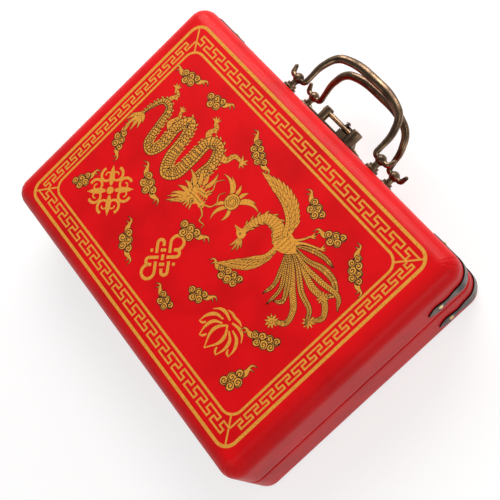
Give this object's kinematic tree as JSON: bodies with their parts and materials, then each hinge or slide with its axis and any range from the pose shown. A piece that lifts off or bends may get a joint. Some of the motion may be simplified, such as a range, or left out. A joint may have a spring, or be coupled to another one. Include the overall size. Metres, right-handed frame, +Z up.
{
  "type": "mahjong case with drawers",
  "caption": "Flat hinged carrying case with bail handles, a sliding latch and a cabinet of drawers in its base, in red leathercloth with a gold fret border.",
  "frame": {"origin": "centre of the base's flat bottom face", "axes": "+Z up, lid on top when closed; -Y is the front with the handles and the latch; +X is to the right seen from the front; hinges at +Y"},
  "size_m": [0.3202, 0.2778, 0.074],
  "materials": {
    "red_leathercloth": "glossy lacquered leathercloth on board, fine grain",
    "red_flock": "flocked lining",
    "pale_wood": "satin poplar",
    "dark_wood": "dark red-brown lacquered wood",
    "antique_bronze": "antique bronze, darkened and rubbed bright on edges",
    "strap_bronze": "dark antique bronze strap",
    "pale_brass": "bright domed nail heads"
  },
  "bodies": {
    "base": {"base_shell": "red_leathercloth", "base_tray": "red_flock", "tray_divider_left": "dark_wood", "tray_divider_right": "dark_wood", "cabinet_bearers": "dark_wood", "cabinet_floor": "dark_wood", "cabinet_top": "dark_wood", "cabinet_back": "dark_wood", "cabinet_side_left": "dark_wood", "cabinet_side_right": "dark_wood", "cabinet_partition_left": "dark_wood", "cabinet_partition_right": "dark_wood", "cabinet_shelf": "dark_wood", "base_strap_left": "strap_bronze", "base_strap_right": "strap_bronze", "base_strap_nails": "pale_brass", "base_handle_post_left": "antique_bronze", "base_handle_post_right": "antique_bronze", "base_handle_nuts": "antique_bronze", "catch_plate": "antique_bronze", "catch_plate_nails": "pale_brass", "latch_catch": "antique_bronze", "hinge_left_base_leaf": "antique_bronze", "hinge_right_base_leaf": "antique_bronze", "hinge_left_pin": "antique_bronze", "hinge_right_pin": "antique_bronze", "hinge_screws_base": "pale_brass"},
    "lid": {"lid_shell": "red_leathercloth", "lid_lining": "red_flock", "lid_strap_left": "strap_bronze", "lid_strap_right": "strap_bronze", "lid_strap_nails": "pale_brass", "lid_handle_post_left": "antique_bronze", "lid_handle_post_right": "antique_bronze", "lid_handle_nuts": "antique_bronze", "latch_plate": "antique_bronze", "latch_plate_nails": "pale_brass", "latch_drum_left": "antique_bronze", "latch_drum_right": "antique_bronze", "hinge_left_lid_leaf": "antique_bronze", "hinge_right_lid_leaf": "antique_bronze", "hinge_screws_lid": "pale_brass"},
    "lid_handle": {"lid_handle": "antique_bronze"},
    "base_handle": {"base_handle": "antique_bronze"},
    "latch_bolt": {"latch_bolt": "antique_bronze", "latch_thumb_knob": "antique_bronze"},
    "drawer_left": {"drawer_left_box": "pale_wood", "drawer_left_front": "red_leathercloth", "drawer_left_knob": "antique_bronze", "drawer_left_lining": "red_flock"},
    "drawer_right": {"drawer_right_box": "pale_wood", "drawer_right_front": "red_leathercloth", "drawer_right_knob": "antique_bronze", "drawer_right_lining": "red_flock"},
    "drawer_middle": {"drawer_middle_box": "pale_wood", "drawer_middle_front": "red_leathercloth", "drawer_middle_knob": "antique_bronze", "drawer_middle_lining": "red_flock"}
  },
  "joints": [
    {"name": "lid_hinge", "type": "hinge", "parent": "base", "child": "lid", "pos_m": [0, 0.113, 0.033], "axis": [-1, 0, 0], "range_deg": [0, 105]},
    {"name": "lid_handle_swing", "type": "hinge", "parent": "lid", "child": "lid_handle", "pos_m": [0, -0.1205, 0.054], "axis": [-1, 0, 0], "range_deg": [-10, 85]},
    {"name": "base_handle_swing", "type": "hinge", "parent": "base", "child": "base_handle", "pos_m": [0, -0.1205, 0.019], "axis": [-1, 0, 0], "range_deg": [-114, 11]},
    {"name": "latch_slide", "type": "slide", "parent": "lid", "child": "latch_bolt", "axis": [1, 0, 0], "range_m": [0, 0.014]},
    {"name": "drawer_left_slide", "type": "slide", "parent": "base", "child": "drawer_left", "axis": [0, -1, 0], "range_m": [0, 0.1]},
    {"name": "drawer_middle_slide", "type": "slide", "parent": "base", "child": "drawer_middle", "axis": [0, -1, 0], "range_m": [0, 0.1]},
    {"name": "drawer_right_slide", "type": "slide", "parent": "base", "child": "drawer_right", "axis": [0, -1, 0], "range_m": [0, 0.1]}
  ],
  "couplings": [
    {"joint": "drawer_left_slide", "follows": "lid_hinge", "m_per_rad": 0.054567},
    {"joint": "drawer_middle_slide", "follows": "lid_hinge", "m_per_rad": 0.054567},
    {"joint": "drawer_right_slide", "follows": "lid_hinge", "m_per_rad": 0.054567}
  ]
}
